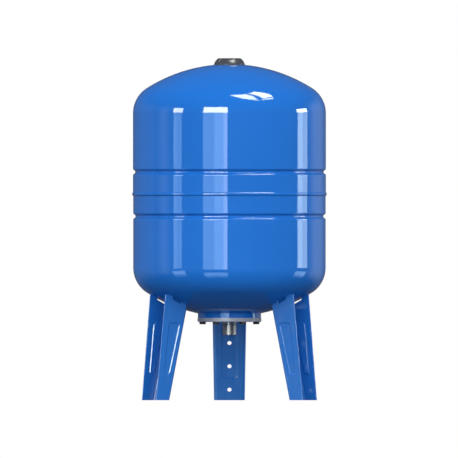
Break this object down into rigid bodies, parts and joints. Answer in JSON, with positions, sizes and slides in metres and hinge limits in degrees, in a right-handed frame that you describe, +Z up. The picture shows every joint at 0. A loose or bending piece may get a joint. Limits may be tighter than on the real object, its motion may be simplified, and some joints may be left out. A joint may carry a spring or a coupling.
{
  "type": "well pressure tank",
  "caption": "Vertical steel pressure tank with dished ends, two rolled grooves, three folded channel legs, a bolted bottom flange with a threaded nipple and an air valve under a cover.",
  "frame": {"origin": "on the tank's axis at floor level, under the middle of the tank", "axes": "+Z up along the tank's axis; the front faces -Y, with one leg behind the axis and two in front of it"},
  "size_m": [0.454, 0.454, 0.7975],
  "materials": {
    "enamel": "glossy blue baked enamel",
    "galvanised": "zinc-plated steel",
    "bare_steel": "bare weld metal",
    "black_bolt": "blackened steel",
    "rubber": "matt black rubber",
    "brass": "turned brass",
    "black_plastic": "moulded plastic",
    "dark_plastic": "glossy dark grey moulded plastic"
  },
  "bodies": {
    "root": {"upper_shell": "enamel", "lower_shell": "enamel", "girth_weld": "enamel", "neck_ring": "enamel", "neck_weld": "bare_steel", "flange_plate": "galvanised", "inlet_nipple": "galvanised", "nipple_weld": "bare_steel", "flange_bolts": "black_bolt", "bladder": "rubber", "valve_stem": "brass", "valve_gasket": "rubber", "valve_washer": "galvanised", "valve_nut": "galvanised", "valve_core": "brass", "valve_cap": "black_plastic", "top_cover": "dark_plastic", "leg_rear": "enamel", "leg_left": "enamel", "leg_right": "enamel", "leg_rear_welds": "enamel", "leg_left_welds": "enamel", "leg_right_welds": "enamel"}
  },
  "joints": []
}
